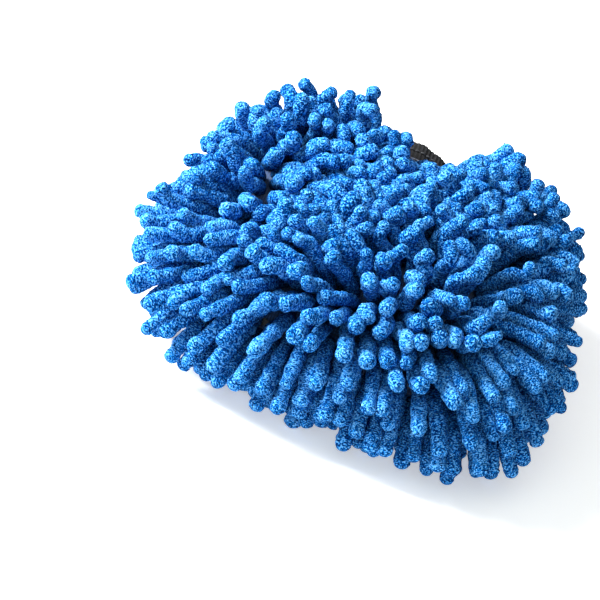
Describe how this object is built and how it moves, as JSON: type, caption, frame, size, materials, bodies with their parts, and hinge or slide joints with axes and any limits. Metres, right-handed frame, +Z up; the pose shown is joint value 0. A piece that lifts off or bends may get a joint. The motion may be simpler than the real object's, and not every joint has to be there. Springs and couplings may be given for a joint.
{
  "type": "chenille wash mitt",
  "caption": "Car wash mitt: a flat fabric hand bag covered all round in rows of soft chenille fingers, with a short elasticated knit cuff.",
  "frame": {"origin": "table level, under the middle of the mitt's footprint", "axes": "+Y out of the cuff, +X across the hand, +Z up from the table; the palm side lies down"},
  "size_m": [0.2186, 0.235, 0.0913],
  "materials": {
    "chenille": "looped microfibre pile",
    "base_fabric": "matt woven",
    "cuff_knit": "matt rib knit",
    "elastic": "braided elastic",
    "thread": "twisted polyester thread"
  },
  "bodies": {
    "root": {"backing_top": "base_fabric", "backing_under": "base_fabric", "cuff_elastic": "elastic", "cuff_knit": "cuff_knit", "cuff_stitches": "thread", "edge_row_01": "chenille", "edge_row_02": "chenille", "edge_row_03": "chenille", "hem_stitches": "thread", "side_seam": "thread", "top_row_01": "chenille", "top_row_02": "chenille", "top_row_03": "chenille", "top_row_04": "chenille", "top_row_05": "chenille", "top_row_06": "chenille", "top_row_07": "chenille", "top_row_08": "chenille", "top_row_09": "chenille", "top_row_10": "chenille", "top_row_11": "chenille", "top_row_12": "chenille", "top_row_13": "chenille", "top_row_14": "chenille", "top_row_15": "chenille", "top_row_16": "chenille", "top_row_17": "chenille", "top_row_18": "chenille", "top_row_19": "chenille", "top_row_20": "chenille", "under_row_01": "chenille", "under_row_02": "chenille", "under_row_03": "chenille", "under_row_04": "chenille", "under_row_05": "chenille", "under_row_06": "chenille", "under_row_07": "chenille", "under_row_08": "chenille", "under_row_09": "chenille", "under_row_10": "chenille", "under_row_11": "chenille", "under_row_12": "chenille"}
  },
  "joints": []
}
